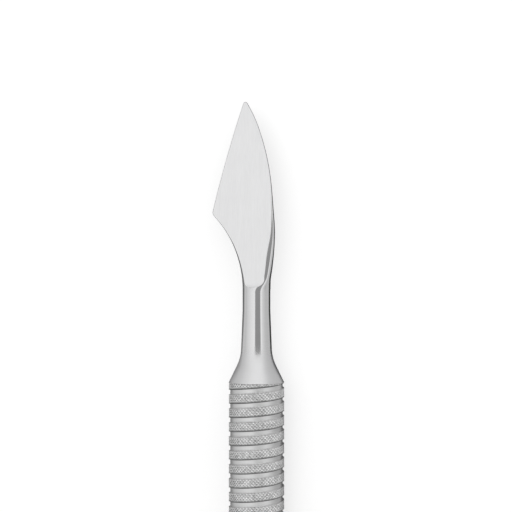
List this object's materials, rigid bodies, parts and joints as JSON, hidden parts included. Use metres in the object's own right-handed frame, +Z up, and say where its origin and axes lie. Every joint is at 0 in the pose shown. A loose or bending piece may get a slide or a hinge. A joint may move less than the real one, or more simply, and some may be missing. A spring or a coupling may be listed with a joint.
{
  "type": "cuticle pusher",
  "caption": "Hand tool for cuticles: a knurled, spirally grooved steel handle with a slanting flat blade at one end and a scooped pusher at the other.",
  "frame": {"origin": "on the handle's axis, at the middle of its plain land", "axes": "+X along the handle's axis towards the blade's point, +Z up, away from the blade's ground face"},
  "size_m": [0.1399, 0.0086, 0.0064],
  "materials": {
    "handle_steel": "knurled, satin",
    "working_steel": "polished, with a lengthwise-ground blade face",
    "braze": "satin"
  },
  "bodies": {
    "root": {"handle_tube": "handle_steel", "blade_end": "working_steel", "pusher_end": "working_steel", "blade_end_braze_ring": "braze", "pusher_end_braze_ring": "braze"}
  },
  "joints": []
}
